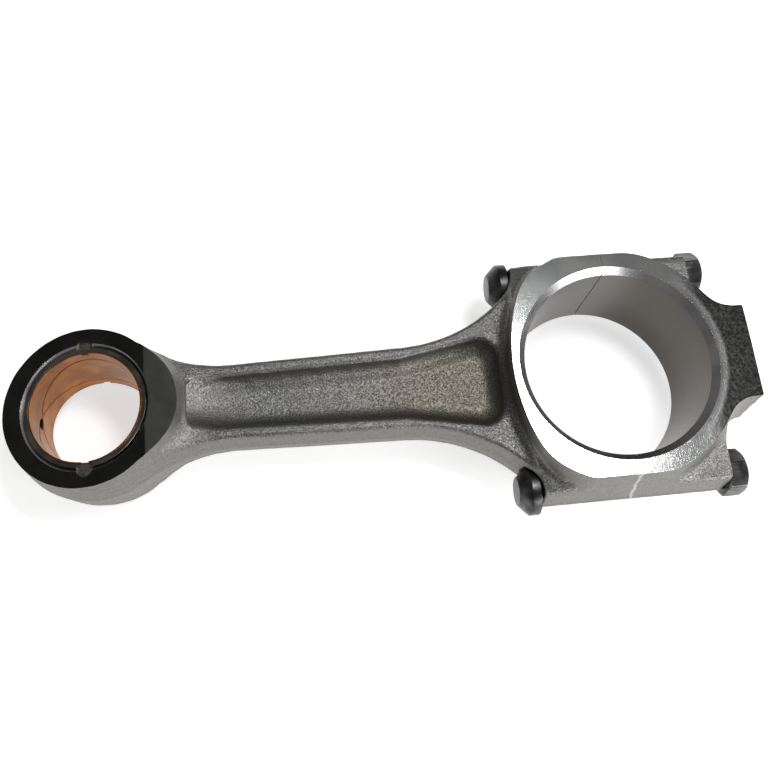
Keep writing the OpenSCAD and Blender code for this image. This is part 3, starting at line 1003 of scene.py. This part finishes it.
def sleeve_mesh(name, r_out, r_in, rows, groove, material):
    """A sleeve about the pin, cut to the keystone faces, with softened end edges."""
    c, s = np.cos(BUSH_TURN), np.sin(BUSH_TURN)
    ease = 0.15
    rings = []

    def ring(r, share, z_in=0.0):
        top = end_height(PIN_X + r * c) - z_in
        z = share * top
        radius = r + (groove_depth(BUSH_TURN, z) if groove and r == r_in else 0)
        return np.stack([PIN_X + radius * c, radius * s, z], 1)

    for share in np.linspace(-1, 1, rows):
        rings.append(ring(r_in, share, ease))
    rings.append(ring(r_in + ease, 1))
    rings.append(ring(r_out - ease, 1))
    rings.append(ring(r_out, 1, ease))
    rings.append(ring(r_out, -1, ease))
    rings.append(ring(r_out - ease, -1))
    rings.append(ring(r_in + ease, -1))
    mesh = rings_to_mesh(name, rings, material, close=True)
    fill_ends(mesh)
    return mesh


def cutter(name):
    """Cylinders for the oil hole and the four notches, as one mesh to cut with."""
    work = bmesh.new()
    oil = Matrix.Translation(((PIN_X - 20) * MM, 0, 0)) @ Matrix.Rotation(math.pi / 2, 4, "Y")
    spots = [(oil, OIL_R, 40)]
    for flip in (1, -1):
        for side in (1, -1):
            z = flip * (PIN_FACE_Z - NOTCH_DEPTH + NOTCH_TOOL_LENGTH / 2)
            at = Matrix.Translation((PIN_X * MM, side * NOTCH_Y * MM, z * MM))
            spots.append((at, NOTCH_R, NOTCH_TOOL_LENGTH))
    for matrix, r, length in spots:
        bmesh.ops.create_cone(
            work,
            cap_ends=True,
            segments=48,
            radius1=r * MM,
            radius2=r * MM,
            depth=length * MM,
            matrix=matrix,
        )
    mesh = bpy.data.meshes.new(name)
    work.to_mesh(mesh)
    work.free()
    return bpy.data.objects.new(name, mesh)


def cut_and_apply(piece, tool):
    """Cuts a piece with a mesh and keeps the result as its mesh."""
    cut = piece.modifiers.new("cut", "BOOLEAN")
    cut.operation = "DIFFERENCE"
    cut.solver = "EXACT"
    cut.object = tool
    bpy.context.view_layer.update()
    evaluated = piece.evaluated_get(bpy.context.evaluated_depsgraph_get())
    piece.data = bpy.data.meshes.new_from_object(evaluated)
    piece.modifiers.clear()


tool = cutter("bush_cutter")
bpy.context.scene.collection.objects.link(tool)
for node, r_out, r_in, rows, groove, material, slot in (
    ("bush_backing", EYE_BORE_R, LINING_R, 2, False, BUSH_STEEL, "bush_steel"),
    ("bush_lining", LINING_R, PIN_R, 150, True, BRONZE, "bronze"),
):
    name = f"{node}_detail"
    mesh = sleeve_mesh(name, r_out, r_in, rows, groove, material)
    piece = place(name, mesh, "rod", [node])
    cut_and_apply(piece, tool)
    finish_edges(piece, 35, 0)
bpy.data.objects.remove(tool)


# ---------------------------------------------------------------- studio


def look_along(azimuth, elevation):
    """Unit vector from the scene's middle towards a direction in degrees."""
    a, e = math.radians(azimuth), math.radians(elevation)
    return np.array([math.cos(a) * math.cos(e), math.sin(a) * math.cos(e), math.sin(e)])


def face_back_along(thing, way, roll=0.0):
    """Turns a lamp or camera to look against a direction, rolled by an angle in degrees."""
    side = np.cross([0, 0, 1.0], way)
    side /= np.linalg.norm(side)
    up = np.cross(way, side)
    c, s = math.cos(math.radians(roll)), math.sin(math.radians(roll))
    turned = np.stack([side * c + up * s, up * c - side * s, way], 1)
    thing.rotation_mode = "QUATERNION"
    thing.rotation_quaternion = Matrix(turned.tolist()).to_quaternion()


def softbox(name, aim, azimuth, elevation, distance, size, power):
    """A square area light that faces a point."""
    light = bpy.data.lights.new(name, "AREA")
    light.shape = "RECTANGLE"
    light.size, light.size_y = size
    light.energy = power
    lamp = bpy.data.objects.new(name, light)
    way = look_along(azimuth, elevation)
    lamp.location = np.array(aim) + way * distance
    face_back_along(lamp, way)
    bpy.context.scene.collection.objects.link(lamp)


FLOOR_GAP = 0.0004


def make_floor():
    """A wide pale floor that the rod's big end rests on."""
    work = bmesh.new()
    bmesh.ops.create_grid(work, x_segments=1, y_segments=1, size=3.0)
    mesh = bpy.data.meshes.new("studio_floor")
    work.to_mesh(mesh)
    work.free()
    floor = bpy.data.objects.new("studio_floor", mesh)
    floor.location = (0, 0, cad_low[2] - FLOOR_GAP)
    bpy.context.scene.collection.objects.link(floor)
    f = Finish("studio_floor")
    tone = f.noise(3, 2, 0.5)
    pale = f.blend(tone, (0.88, 0.88, 0.88), (0.9, 0.9, 0.9))
    mesh.materials.append(f.set(pale, 0.7, metallic=0.0))
    f.surface.inputs["Emission Color"].default_value = (1, 1, 1, 1)
    f.surface.inputs["Emission Strength"].default_value = 0.62


make_floor()

CAMERA_PLACE = (-0.158575, -0.130068, 0.436033)
CAMERA_AZIMUTH = -106.36
CAMERA_ELEVATION = 71.884
CAMERA_ROLL = 11.0076

camera = bpy.data.objects.new("camera", bpy.data.cameras.new("camera"))
face_back_along(camera, look_along(CAMERA_AZIMUTH, CAMERA_ELEVATION), CAMERA_ROLL)
camera.location = CAMERA_PLACE
camera.data.sensor_width = 36
camera.data.lens = 40.41
camera.data.clip_start = 0.01
camera.data.clip_end = 20
bpy.context.scene.collection.objects.link(camera)
bpy.context.scene.camera = camera

BIG_END = (-0.03, 0, 0.03)
MID_SHANK = (-0.15, 0, 0)
BIG_END_FOOT = (-0.02, 0, 0)
softbox("key", BIG_END, 42, 74.5, 1.1, (0.34, 0.19), 5.4)
softbox("right_side", MID_SHANK, 4, 20, 1.2, (0.5, 0.3), 6)
softbox("front_fill", BIG_END_FOOT, -54, 24, 1.0, (0.8, 0.3), 6.8)

world = bpy.data.worlds.new("studio")
bpy.context.scene.world = world
world.use_nodes = True
backdrop = world.node_tree.nodes["Background"]
backdrop.inputs["Color"].default_value = (1.0, 0.99, 0.97, 1)
backdrop.inputs["Strength"].default_value = 0.2
bpy.context.scene.view_settings.view_transform = "Standard"
